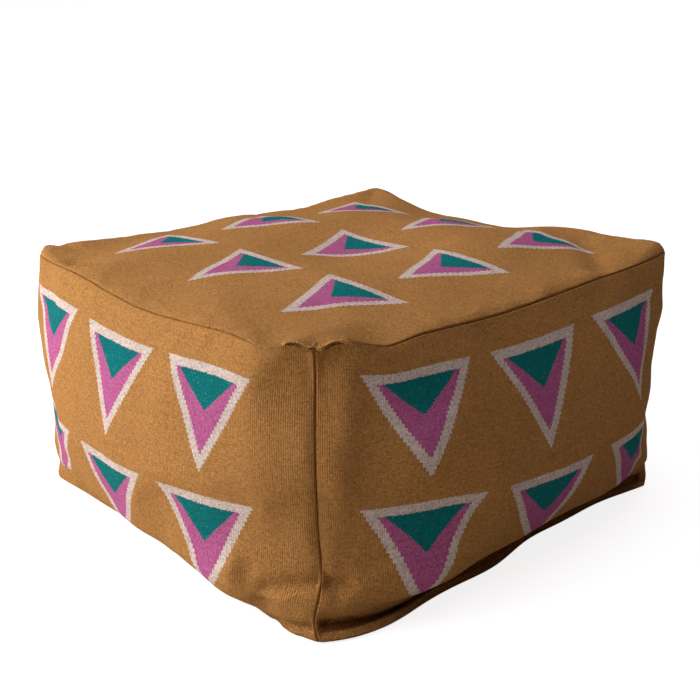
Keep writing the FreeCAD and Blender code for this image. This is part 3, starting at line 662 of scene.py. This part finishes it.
def kilim(name, columns, rows, width, height, pitch, cream_slant):
    """Flat weave with rows of triangles. The cloth map's origin is the first triangle's base middle; its second
    distance runs to the tip. Slanted edges go in steps, as a slit-woven edge does."""
    shader = Shader(name)
    m = shader.math
    x, y = shader.split_uv()
    column = m("MINIMUM", m("MAXIMUM", m("ROUND", m("DIVIDE", x, pitch[0])), 0.0), columns - 1.0)
    row = m("MINIMUM", m("MAXIMUM", m("FLOOR", m("DIVIDE", m("ADD", y, ROW_LEAD), pitch[1])), 0.0), rows - 1.0)
    rib = m("FLOOR", m("DIVIDE", x, RIB))
    step_middle = m("MULTIPLY", m("ADD", m("FLOOR", m("DIVIDE", x, EDGE_STEP)), 0.5), EDGE_STEP)
    aside = m("ABSOLUTE", m("SUBTRACT", step_middle, m("MULTIPLY", column, pitch[0])))
    slip = shader.noise(shader.join(rib, m("MULTIPLY", y, SLIP_ALONG)), SLIP_SCALE, 0.0)
    down = m("ADD", m("SUBTRACT", y, m("MULTIPLY", row, pitch[1])), shader.about(slip, SLIP))

    def triangle(base, wide, deep):
        """1 inside a triangle that begins at that depth, 0 outside."""
        tip = m("SUBTRACT", base + deep, m("MULTIPLY", aside, deep / wide))
        begun = shader.ramp(m("SUBTRACT", down, base), -EDGE_SOFT, EDGE_SOFT)
        return m("MULTIPLY", begun, shader.ramp(m("SUBTRACT", tip, down), -EDGE_SOFT, EDGE_SOFT))

    half = width / 2
    inner_half = half * (1 - CREAM_BASE / height) - cream_slant
    inner_deep = inner_half * height / half
    in_cream = triangle(0.0, half, height)
    in_magenta = triangle(CREAM_BASE, inner_half, inner_deep)
    in_teal = triangle(CREAM_BASE, TEAL_WIDE * inner_half, TEAL_DEEP * inner_deep)

    streak = shader.cloth_noise(x, y, 0.022, 0.62, 3.0, 0.6)
    mottle = shader.cloth_noise(x, y, 0.02, 0.02, 3.0, 0.55)
    uneven = shader.cloth_noise(x, y, 0.2, 0.16)
    knots = shader.cloth_noise(x, y, 0.42, 0.30, 1.0)
    slub = shader.cloth_noise(x, y, 0.09, 0.45, 1.0)
    fuzz = shader.noise(shader.join(x, y), 1.3, 3.0, 0.6)
    bead_at = m("ADD", m("DIVIDE", y, PASS), m("MULTIPLY", rib, 0.5))
    grain = shader.grain(rib, m("FLOOR", bead_at))
    round_rib, along = (m("SINE", m("MULTIPLY", m("FRACT", part), math.pi)) for part in (m("DIVIDE", x, RIB), bead_at))
    bead = m("MULTIPLY", round_rib, along)

    fleck = m("MULTIPLY", m("GREATER_THAN", grain, 0.988), m("ADD", m("MULTIPLY", in_teal, 0.05), 0.05))
    dull = m("MULTIPLY", m("LESS_THAN", grain, 0.05), 0.10)
    colour = OCHRE
    for share, paint in ((in_cream, CREAM), (in_magenta, MAGENTA), (in_teal, TEAL), (fleck, FLECK), (dull, DULL)):
        colour = shader.mix(share, colour, paint)
    # painted shade: the tone follows the bead relief, darker in the gaps between the warp ribs and between the weft's
    # beads, lighter on their crowns
    tone = m("ADD", 1.0, m("MULTIPLY", m("SUBTRACT", bead, BEAD_SHADE_MEAN), 0.42))
    for part, share in ((streak, 0.24), (mottle, 0.14), (grain, 0.40), (uneven, 0.08), (knots, 0.42)):
        tone = m("ADD", tone, shader.about(part, share))
    tone = m("ADD", tone, m("MULTIPLY", shader.ramp(slub, 0.66, 0.76), 0.16))
    relief = m("MULTIPLY", bead, 0.7)
    for part, share in ((fuzz, 0.5), (uneven, 0.8), (knots, 1.3), (shader.ramp(slub, 0.6, 0.8), 0.7)):
        relief = m("ADD", relief, m("MULTIPLY", part, share))
    return shader.finish(shader.shaded(colour, tone), relief, 0.0020, 0.9, Roughness=0.95, Specular_IOR_Level=0.06)


def plain_weave(name, colour, pitch, tone=0.25, distance=0.0004):
    """A plain cloth of even yarns."""
    shader = Shader(name)
    m = shader.math
    x, y = shader.split_uv()
    warp, weft = (m("ABSOLUTE", m("SINE", m("MULTIPLY", run, math.pi / pitch))) for run in (x, y))
    over, under = (m("FLOOR", m("DIVIDE", run, pitch)) for run in (x, y))
    turn = m("MODULO", m("ABSOLUTE", m("ADD", over, under)), 2.0)
    height = m("ADD", m("MULTIPLY", turn, warp), m("MULTIPLY", m("SUBTRACT", 1.0, turn), weft))
    streak = shader.cloth_noise(x, y, 0.03, 0.7, 3.0, 0.6)
    value = m("ADD", shader.about(shader.grain(over, under), tone), shader.about(streak, tone))
    # painted shade: yarns that lie on top are painted lighter and the hollows between them darker
    value = m("ADD", m("ADD", value, 0.9), m("MULTIPLY", height, 0.14))
    return shader.finish(shader.shaded(colour, value), height, distance, Roughness=0.9, Specular_IOR_Level=0.2,
                         Sheen_Weight=0.05)


def twisted_thread(name, colour):
    """Sewing thread with the twist of its plies."""
    shader = Shader(name)
    wave = shader.node("TexWave", {"bands_direction": "DIAGONAL"}, Vector=shader.place(), Scale=1.4, Distortion=1.5,
                       Detail=1.0)
    twist = wave.outputs["Fac"]
    # painted shade: the thread is darker in the grooves of its twist and lighter on the plies' crests
    tone = shader.mix(twist, times(colour, 0.7), times(colour, 1.15))
    return shader.finish(tone, twist, 0.00015, Roughness=0.75, Specular_IOR_Level=0.3, Sheen_Weight=0.1)


def moulded_plastic(name, colour):
    """Plastic, a little cloudy, with a fine grain."""
    shader = Shader(name)
    place = shader.place()
    cloud, fine = shader.noise(place, 0.12), shader.noise(place, 3.0)
    tone = shader.mix(cloud, times(colour, 0.85), times(colour, 1.12))
    rough = shader.math("ADD", shader.math("MULTIPLY", fine, 0.2), 0.34)
    return shader.finish(tone, fine, 0.00006, 0.4, Roughness=rough, Specular_IOR_Level=0.45)


def dull_brass(name, colour):
    """Brass with stains of tarnish and fine scuffs."""
    shader = Shader(name)
    place = shader.place()
    stain, scuff = shader.noise(place, 0.35, 4.0, 0.6), shader.noise(place, 4.5, 3.0, 0.7)
    tone = shader.mix(shader.ramp(stain, 0.35, 0.7), colour, times(colour, 0.55))
    rough = shader.math("ADD", shader.math("MULTIPLY", stain, 0.3), shader.math("MULTIPLY", scuff, 0.22))
    return shader.finish(tone, scuff, 0.00004, 0.5, Roughness=rough, Metallic=1.0)


def foam_beads(name, colour, size=4.0):
    """Loose foam beads."""
    shader = Shader(name)
    cell = shader.node("TexVoronoi", {"feature": "F1"}, Vector=shader.place(1000 / size), Scale=1.0)
    dome = shader.math("SUBTRACT", 1.0, cell.outputs["Distance"])
    # painted shade: each bead is darker towards its edge, where it meets the next
    tone = shader.mix(dome, times(colour, 0.72), colour)
    return shader.finish(tone, dome, 0.002, 0.9, Roughness=0.7, Specular_IOR_Level=0.3)


side_cloth = kilim("kilim_side", columns=3, rows=2, width=144.5, height=122.0, pitch=(179.0, 150.0), cream_slant=12.0)
top_cloth = kilim("kilim_top", columns=3, rows=3, width=127.8, height=119.4, pitch=(172.7, 164.4), cream_slant=11.5)
canvas = plain_weave("base_canvas", (0.42, 0.20, 0.07), 1.1)
cotton = plain_weave("lining_cotton", (0.75, 0.70, 0.62), 0.6, 0.12, 0.0002)
tape_cloth = plain_weave("zip_tape_weave", (0.36, 0.18, 0.07), 0.8, 0.2, 0.0003)
thread = twisted_thread("sewing_thread", (0.38, 0.19, 0.07))
plastic = moulded_plastic("zip_teeth_plastic", (0.30, 0.15, 0.06))
brass = dull_brass("zip_brass", (0.60, 0.42, 0.18))
beads = foam_beads("foam_beads", (0.85, 0.85, 0.83))


# ---- The cover ----

# The pattern's place on each side: first triangles from its left end, their bases from the top seam, and how tightly
# it was woven
FIRST_COLUMN = {"front": 119.0, "right": 105.0, "back": 112.0, "left": 96.4}
SIDE_BASE_EDGE = {"front": 37.0, "right": 38.0, "back": 36.0, "left": 38.5}
SIDE_BEATEN = {"front": 1.0, "right": 1.01, "back": 0.99, "left": 1.035}
TOP_FIRST_ROW, TOP_BASE_EDGE = 139.4, 522.5

LUMP, LUMP_FROM_SEAM = 1.3, 45.0  # the fill's lumps
PUCKER, PUCKER_AT, PUCKER_WIDTH, PUCKER_FROM_SEAM = 0.7, 13.0, 9.0, 6.0  # the seams' puckers
FOLD_FROM_SEAM = 5.0
lumps = sines(24, 70, 190, 11)
puckers = sines(16, 16, 46, 12)

grids = cover_form()
numbers, cut_places = sewn_numbers()
grids = settled(grids, numbers, cut_places)
normals = seam_normals(grids, numbers, len(cut_places))
panels, pieces = {}, {}


def finish_piece(obj, material, slot, *nodes):
    """Gives a piece its material, hangs it on the cover's body and hides the CAD parts that it stands for."""
    obj.data.materials.append(material)
    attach(obj, "cover")
    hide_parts(*nodes)


def shaped_panel(name, s, t, size):
    """A panel with its lumps, puckers, creases and sewn edges."""
    panel = Panel(name, grids, normals, s, t, size)
    x, y, z = np.moveaxis(panel.points, -1, 0)
    panel.push(LUMP * lumps(x, y, z) * smooth(panel.to_seam / LUMP_FROM_SEAM))
    beside = np.exp(-((panel.to_seam - PUCKER_AT) / PUCKER_WIDTH) ** 2) * smooth(panel.to_seam / PUCKER_FROM_SEAM)
    panel.push(PUCKER * puckers(x, y, z) * beside)
    for line, depth, width, *upright in FOLDS.get(name, ()):
        away = to_line(panel.s_grid, panel.t_grid, line)
        raised = -depth * np.exp(-(away / width) ** 2) * smooth(panel.to_seam / FOLD_FROM_SEAM)
        if upright:
            panel.points[..., 2] += raised
        else:
            panel.push(raised)
    panel.sew()
    return panel


def cover_piece(name, panel, cells, thickness, u, v):
    """A panel made into a piece of cloth, with its cloth map."""
    piece = mesh_object("cover_" + name, panel.points, cells, np.stack([u, v], -1))
    thicken(piece, thickness)
    panels[name], pieces[name] = panel, piece
    return piece


for side in SIDES:
    panel = shaped_panel(side, places(CUT_SPAN), places(CUT_RISE), (CUT_SPAN, CUT_RISE))
    from_base = (CUT_RISE - panel.t_grid - SIDE_BASE_EDGE[side]) * SIDE_BEATEN[side]
    piece = cover_piece(side, panel, panel.cells(), CLOTH, panel.s_grid - FIRST_COLUMN[side], from_base)
    finish_piece(piece, side_cloth, "woven_cloth", side + "_panel")

panel = shaped_panel("top", places(CUT_SPAN), places(CUT_SPAN), (CUT_SPAN, CUT_SPAN))
piece = cover_piece("top", panel, panel.cells(), CLOTH, panel.t_grid - TOP_FIRST_ROW, TOP_BASE_EDGE - panel.s_grid)
finish_piece(piece, top_cloth, "woven_cloth", "top_panel")

# The base: two halves that meet in the middle, lifted into a shallow recess over the zip
RECESS_X, RECESS_Y, RECESS_Z, RECESS_SLOPE = 262.0, 22.0, 8.0, 8.0
SLOT_X, SLOT_Y, SLOT_END = 228.0, 6.0, 4.0  # opening for the zip, and how fast it closes at its ends
STRAIGHT_FROM, STRAIGHT_FADE = 90.0, 60.0  # near the zip the halves lie straight along it
SETBACK_FADE = 30.0
FLAT_FROM, FLAT_FADE = 4.0, 70.0  # inside the base seam the cloth comes down to the floor
MEET_LIFT, MEET_REACH = 1.5, 6.0  # beyond the zip the edges turn up where they meet


def in_recess(x, y, slope):
    """Share of the recess's height at a place under the pouf."""
    outside = np.maximum(np.maximum(np.abs(x) - RECESS_X, np.abs(y) - RECESS_Y), 0)
    return np.clip(1 - outside / slope, 0, 1)


for half, sign in (("front", -1), ("back", 1)):
    t = places(MIDDLE, "seam", "free")
    if half == "back":
        t = CUT_SPAN - t[::-1]
    panel = Panel("base", grids, normals, places(CUT_SPAN), t, (CUT_SPAN, CUT_SPAN))
    from_middle = np.abs(panel.t_grid - MIDDLE)
    points = panel.points
    x = points[..., 0]
    open_here = smooth((SLOT_X + SLOT_END / 2 - np.abs(x)) / SLOT_END)
    edge = SEAM_GAP + (SLOT_Y - SEAM_GAP) * open_here
    straight = sign * (from_middle + edge * np.clip(1 - from_middle / SETBACK_FADE, 0, 1))
    points[..., 1] += smooth((STRAIGHT_FROM - from_middle) / STRAIGHT_FADE) * (straight - points[..., 1])
    points[..., 2] *= 1 - smooth((panel.to_seam - FLAT_FROM) / FLAT_FADE)
    points[..., 2] += RECESS_Z * in_recess(x, points[..., 1], RECESS_SLOPE)
    points[..., 2] += (1 - open_here) * MEET_LIFT * np.clip(1 - from_middle / MEET_REACH, 0, 1) ** 2
    panel.sew()
    piece = cover_piece("base_" + half, panel, panel.cells()[:, ::-1], BASE_CLOTH, panel.s_grid, panel.t_grid)
    finish_piece(piece, canvas, "base_cloth", "base_panel_" + half)


# ---- Stitches and zip ----

STITCH_RINGS = ((-0.5, 0.45, -0.55), (-0.36, 1.0, 0.0), (0.36, 1.0, 0.0), (0.5, 0.45, -0.55))  # along, size, up
STITCH_IN, STITCH_ENDS, STITCH_OFF = 6.0, 4.0, 0.25  # from the seam, from its ends, and above the cloth


def stitches(name, runs, node, length=3.4, gap=1.1, radius=0.32, sides=6):
    """Rows of stitches on runs of (points, ways off the cloth): each is a thread that dives in at both ends."""
    points, faces = [], []
    turn = np.linspace(0, 2 * math.pi, sides, endpoint=False)
    last = (len(STITCH_RINGS) - 1) * sides
    for line, off in runs:
        run = lengths_along(*line.T)
        count = int(run[-1] // (length + gap))
        for k in range(count):
            middle = (k + 0.5) * run[-1] / count
            at, fore, aft, up = (np.array([np.interp(where, run, c) for c in source.T]) for where, source in
                                 ((middle, line), (middle + 1, line), (middle - 1, line), (middle, off)))
            way = unit(fore - aft)
            up = unit(up - way * (up @ way))
            beside = np.cross(way, up)
            start = len(points)
            for where, size, dive in STITCH_RINGS:
                centre = at + way * where * length + up * dive * radius
                points.extend(centre + radius * size * (math.cos(a) * beside + math.sin(a) * up) for a in turn)
            for first in range(start, start + last, sides):
                for a in range(sides):
                    b = (a + 1) % sides
                    faces.append((first + a, first + b, first + sides + b, first + sides + a))
            faces.append(tuple(start + a for a in reversed(range(sides))))
            faces.append(tuple(start + last + a for a in range(sides)))
    finish_piece(mesh_object(name, np.array(points), faces), thread, "thread", node)


def allowance_run(panel, axis, end):
    """Where the stitches lie on the inner face of a turned-in edge."""
    stations, length = (panel.s, panel.size[0]) if axis == 0 else (panel.t, panel.size[1])
    others, span = (panel.t, panel.size[1]) if axis == 0 else (panel.s, panel.size[0])
    row = int(np.argmin(np.abs(stations - (-STITCH_IN if end == 0 else length + STITCH_IN))))
    keep = (others > STITCH_ENDS) & (others < span - STITCH_ENDS)
    line = np.take(panel.points, row, axis)
    inward = next(inner for a, e, _, (_, inner) in panel.edges if (a, e) == (axis, end))
    inward = np.broadcast_to(inward[0] if axis == 0 else inward[:, 0], line.shape)
    thick = BASE_CLOTH if panel.name == "base" else CLOTH
    return (line + inward * (thick + STITCH_OFF))[keep], inward[keep]


stitches("top_seam_stitches", [allowance_run(panels[side], 1, -1) for side in SIDES]
         + [allowance_run(panels["top"], axis, end) for axis in (0, 1) for end in (0, -1)], "top_seam_thread")
stitches("corner_seam_stitches", [allowance_run(panels[side], 0, end) for side in SIDES for end in (0, -1)],
         "corner_seam_thread")
stitches("base_seam_stitches", [allowance_run(panels[side], 1, 0) for side in SIDES]
         + [allowance_run(panels["base_front"], 1, 0), allowance_run(panels["base_back"], 1, -1)]
         + [allowance_run(panels["base_" + half], 0, end) for half in ("front", "back") for end in (0, -1)],
         "base_seam_thread")

ZIP_LINE, ZIP_REACH, ZIP_STATIONS = 12.7, 220.0, 60
ZIP_FACES = ((11.1, 1.0), (7.7, -1.0))  # heights of the stitches above and below, and their way off the cloth
TAPE, TAPE_ALONG, TAPE_ACROSS = 0.46, 160, 13  # thickness, and points each way
TAPE_LOWER, TAPE_WAVE, TAPE_TURN = 0.02, 0.04, 2.3  # ripples below the CAD tape's upper face

along_zip = np.linspace(-ZIP_REACH, ZIP_REACH, ZIP_STATIONS)
zip_runs = [(np.stack(np.broadcast_arrays(along_zip, y, z), -1), np.tile([0, 0, up], (ZIP_STATIONS, 1)))
            for y in (-ZIP_LINE, ZIP_LINE) for z, up in ZIP_FACES]
stitches("zip_stitches", zip_runs, "zip_stitching", 2.6, 0.8)

for half in ("front", "back"):
    low, high = (Vector(c) * 1000 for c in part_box("zip_tape_" + half))
    x, y = np.meshgrid(np.linspace(low.x, high.x, TAPE_ALONG), np.linspace(low.y, high.y, TAPE_ACROSS), indexing="ij")
    z = np.full_like(x, high.z - TAPE_LOWER) - TAPE_WAVE * (1 + np.sin(x / TAPE_TURN + 2 * y))
    cells = grid_cells(np.arange(x.size).reshape(x.shape))
    piece = mesh_object("zip_tape_woven_" + half, np.stack([x, y, z], -1), cells, np.stack([x, y], -1))
    thicken(piece, TAPE)
    finish_piece(piece, tape_cloth, "zip_tape", "zip_tape_" + half)

for nodes, material in ((("zip_teeth_front", "zip_teeth_back"), plastic),
                        (("zip_top_stops", "zip_bottom_stop", "zip_slider", "zip_pull"), brass)):
    for node in nodes:
        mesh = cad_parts[node].data
        mesh.materials.clear()
        mesh.materials.append(material)


# ---- Lining and fill ----

FOOT_IN, FOOT_FROM, FOOT_FADE = 0.13, 80.0, 50.0  # the lining stays inside the tucked foot, by a share,
EAR_IN, EAR_FROM, EAR_FADE = 14.0, 110.0, 80.0  # and inside the ears
BASE_FADE, ZIP_SLOPE = 70.0, 30.0


def inset(plain, at_seam, reach, over_zip):
    """The form drawn in: evenly, further beside seams, and over the zip's recess."""
    inner = {}
    for name, grid in grids.items():
        step = CUT_SPAN / CELLS_ACROSS
        rise = step if name in ("top", "base") else CUT_RISE / CELLS_UP
        i, j = np.arange(grid.shape[0]) * step, np.arange(grid.shape[1]) * rise
        near = np.minimum(np.minimum(i, i[::-1])[:, None], np.minimum(j, j[::-1])[None])
        depth = plain + (at_seam - plain) * np.clip(1 - near / reach, 0, 1) ** 1.5
        points = grid - normals[name] * depth[..., None]
        points[..., :2] *= 1 - FOOT_IN * smooth((FOOT_FROM - grid[..., 2:]) / FOOT_FADE)
        to_ear = np.linalg.norm(np.abs(grid) - (HALF_SPAN, HALF_SPAN, CORNER_Z), axis=-1)
        points -= smooth((EAR_FROM - to_ear) / EAR_FADE)[..., None] * np.sign(grid) * EAR_IN
        if name == "base":
            points[..., 2] = grid[..., 2] * (1 - smooth(near / BASE_FADE)) + depth
            raised = over_zip * in_recess(points[..., 0], points[..., 1], ZIP_SLOPE)
            points[..., 2] = np.maximum(points[..., 2], raised)
        inner[name] = points
    return inner


def lining_piece(name, grid, flip):
    """A piece made of one grid, with its cloth map."""
    i, j = np.meshgrid(*(np.arange(count) * GRID_STEP for count in grid.shape[:2]), indexing="ij")
    cells = grid_cells(np.arange(i.size).reshape(i.shape), flip)
    return mesh_object("lining_" + name, grid, cells, np.stack([i, j], -1))


liner = inset(plain=11.0, at_seam=22.0, reach=26.0, over_zip=14.0)
band = np.concatenate([liner[side][:-1] for side in SIDES] + [liner[SIDES[0]][:1]])
for name, grid, flip, flat in (("top", liner["top"], False, (0.60, 0.60)), ("band", band, False, (2.40, 0.35)),
                               ("base", liner["base"], True, (0.60, 0.60))):
    piece = lining_piece(name, grid, flip)
    thicken(piece, LINING)
    finish_piece(piece, cotton, "lining", "liner_" + name)

core = inset(plain=13.5, at_seam=25.0, reach=26.0, over_zip=16.5)
fill = mesh_object("bead_fill_mass", *sewn(core, numbers, len(cut_places)))
finish_piece(fill, beads, "beads", "bead_fill")


# ---- Studio ----

CAMERA_AT = (-1.0697, -1.2839, 0.7581)
CAMERA_AZIMUTH, CAMERA_ELEVATION, CAMERA_ROLL = -129.89, 18.68, -1.18
SENSOR, LENS, FAR = 36, 67.96, 100
KEY_AZIMUTH, KEY_ELEVATION, KEY_AWAY, KEY_AIM = 145.0, 21.0, 1.95, (0, 0, 0.2)  # low behind the left corner
KEY_SIZE, KEY_STRENGTH, KEY_COLOUR = 2.3, 56.0, (1.0, 0.99, 0.98)  # large and soft
OVERHEAD, OVERHEAD_COLOUR, HORIZON_COLOUR = 1.6, (1.0, 1.0, 1.08), (1.0, 0.74, 0.58)
OVERHEAD_FROM = (-0.22, 0.27, 0.94)  # straight up, leaning a little to the key's side
LEVEL_RANGE, HUE_RANGE = (0.5, 1.0), (0.45, 0.95)
FLOOR_GLOW, FLOOR_SHADE, FLOOR_BOUNCE, BOUNCE_COLOUR = 0.85, 0.40, 0.72, (1.0, 0.94, 0.86)
FLOOR_HALF, FLOOR_Z = 9e3, -0.4


def toward(azimuth, elevation):
    """Unit vector in a direction given in degrees."""
    a, e = math.radians(azimuth), math.radians(elevation)
    return Vector((math.cos(a) * math.cos(e), math.sin(a) * math.cos(e), math.sin(e)))


def camera_as_photographed():
    """The photograph's camera: at the left front, a little above the top, and slightly rolled."""
    right, back = toward(CAMERA_AZIMUTH + 90, 0), toward(CAMERA_AZIMUTH, CAMERA_ELEVATION)
    up = back.cross(right)
    roll = math.radians(CAMERA_ROLL)
    right, up = math.cos(roll) * right + math.sin(roll) * up, math.cos(roll) * up - math.sin(roll) * right
    data = bpy.data.cameras.new("camera")
    data.sensor_width, data.lens, data.clip_end = SENSOR, LENS, FAR
    camera = bpy.data.objects.new("camera", data)
    camera.matrix_world = Matrix.Translation(CAMERA_AT) @ Matrix((right, up, back)).transposed().to_4x4()
    bpy.context.scene.collection.objects.link(camera)
    bpy.context.scene.camera = camera


def key_light():
    data = bpy.data.lights.new("key", "AREA")
    data.shape, data.size, data.energy, data.color = "DISK", KEY_SIZE, KEY_STRENGTH, KEY_COLOUR
    key = bpy.data.objects.new("key", data)
    key.visible_camera = False
    source = toward(KEY_AZIMUTH, KEY_ELEVATION)
    key.rotation_euler = source.to_track_quat("Z", "Y").to_euler()
    key.location = Vector(KEY_AIM) + KEY_AWAY * source
    bpy.context.scene.collection.objects.link(key)


def surroundings():
    """Light from overhead, warmer and fainter to the sides, in front of a white background."""
    world = bpy.data.worlds.new("studio")
    bpy.context.scene.world = world
    world.use_nodes = True
    world.node_tree.nodes.clear()
    nodes = Nodes(world.node_tree)
    height = nodes.node("VectorMath", {"operation": "DOT_PRODUCT"})
    nodes.put(height.inputs[0], nodes.node("TexCoord").outputs["Generated"])
    nodes.put(height.inputs[1], OVERHEAD_FROM)
    up = height.outputs["Value"]
    tint = nodes.mix(nodes.ramp(up, *HUE_RANGE), HORIZON_COLOUR, OVERHEAD_COLOUR)
    level = nodes.math("MULTIPLY", nodes.ramp(up, *LEVEL_RANGE), OVERHEAD)
    nodes.show(nodes.node("Background", Color=tint, Strength=level), nodes.node("Background", Color=(1, 1, 1)),
               "OutputWorld")


def studio_floor():
    """A floor that shows white with the object's shadow, and throws warm light back up."""
    corners = ((-1, -1), (1, -1), (1, 1), (-1, 1))
    floor = mesh_object("floor", np.array([(x * FLOOR_HALF, y * FLOOR_HALF, FLOOR_Z) for x, y in corners]),
                        [(0, 1, 2, 3)])
    material = bpy.data.materials.new("studio_floor")
    material.use_nodes = True
    material.node_tree.nodes.clear()
    nodes = Nodes(material.node_tree)
    lit = nodes.node("BsdfDiffuse", Color=times(BOUNCE_COLOUR, FLOOR_BOUNCE))
    shade = nodes.node("BsdfDiffuse", Color=(FLOOR_SHADE,) * 3)
    both = nodes.node("AddShader")
    nodes.put(both.inputs[0], shade.outputs[0])
    nodes.put(both.inputs[1], nodes.node("Emission", Strength=FLOOR_GLOW).outputs[0])
    nodes.show(lit, both, "OutputMaterial")
    floor.data.materials.append(material)


camera_as_photographed()
key_light()
surroundings()
studio_floor()
bpy.context.scene.view_settings.view_transform = "Standard"

bpy.context.view_layer.update()
